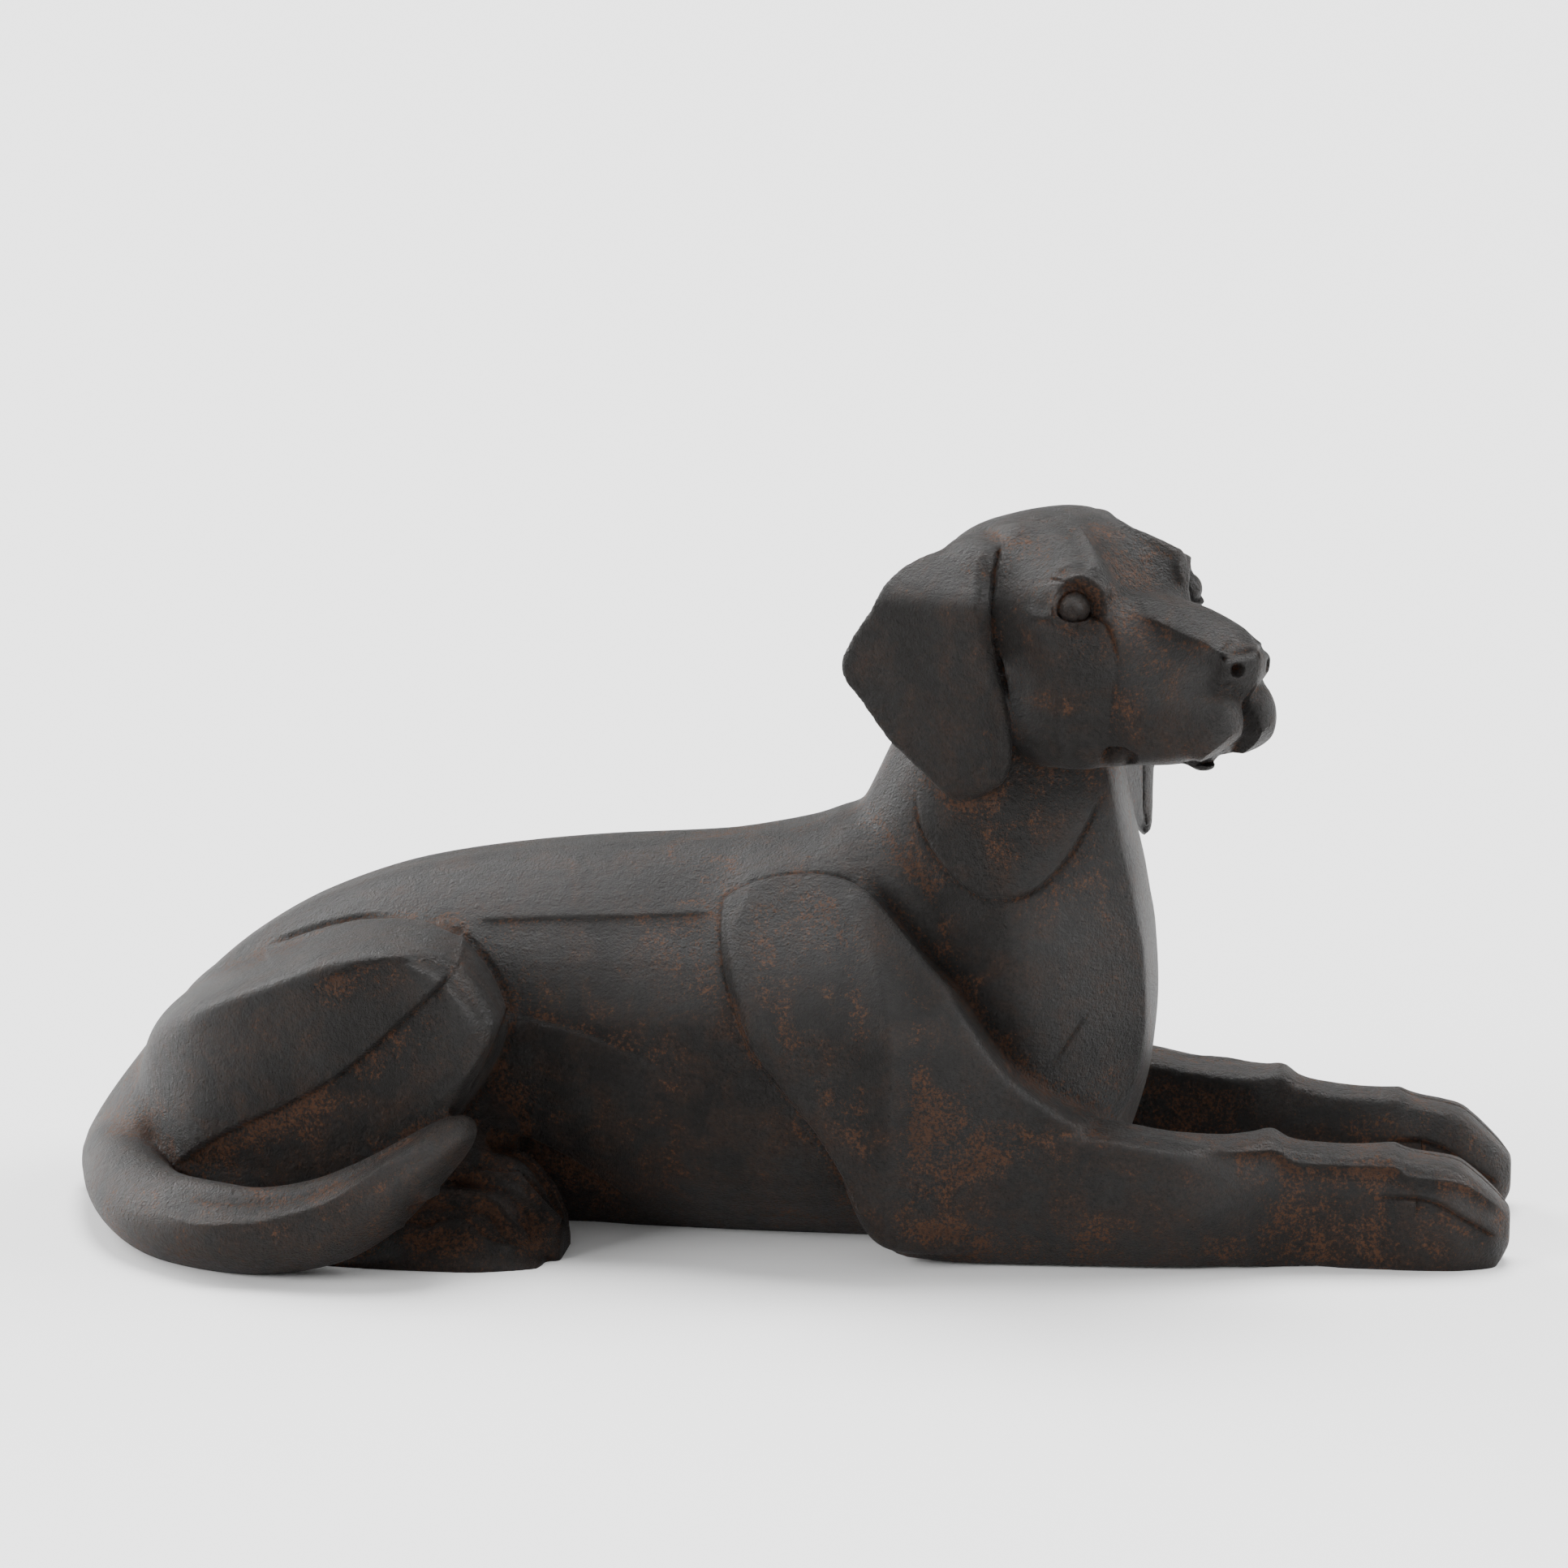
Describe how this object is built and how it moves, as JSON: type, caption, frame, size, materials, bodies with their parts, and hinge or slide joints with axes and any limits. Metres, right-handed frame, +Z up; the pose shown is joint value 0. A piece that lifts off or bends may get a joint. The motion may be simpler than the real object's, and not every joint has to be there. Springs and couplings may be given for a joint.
{
  "type": "lying dog sculpture",
  "caption": "Life-size smooth-haired hound lying with forelegs stretched out, head raised and turned to its right, tail curled along the same side, cast in one piece.",
  "frame": {"origin": "on the floor, under the middle of the sculpture's bounding box", "axes": "+X from the rump to the forepaws, +Z up; the head looks towards +X and -Y"},
  "size_m": [0.909, 0.3876, 0.4517],
  "materials": {
    "dark_cast_patina": "dark graphite-brown patina, satin, finely pitted, with rust-brown mottling in the recesses"
  },
  "bodies": {
    "root": {"lying_hound": "dark_cast_patina"}
  },
  "joints": []
}
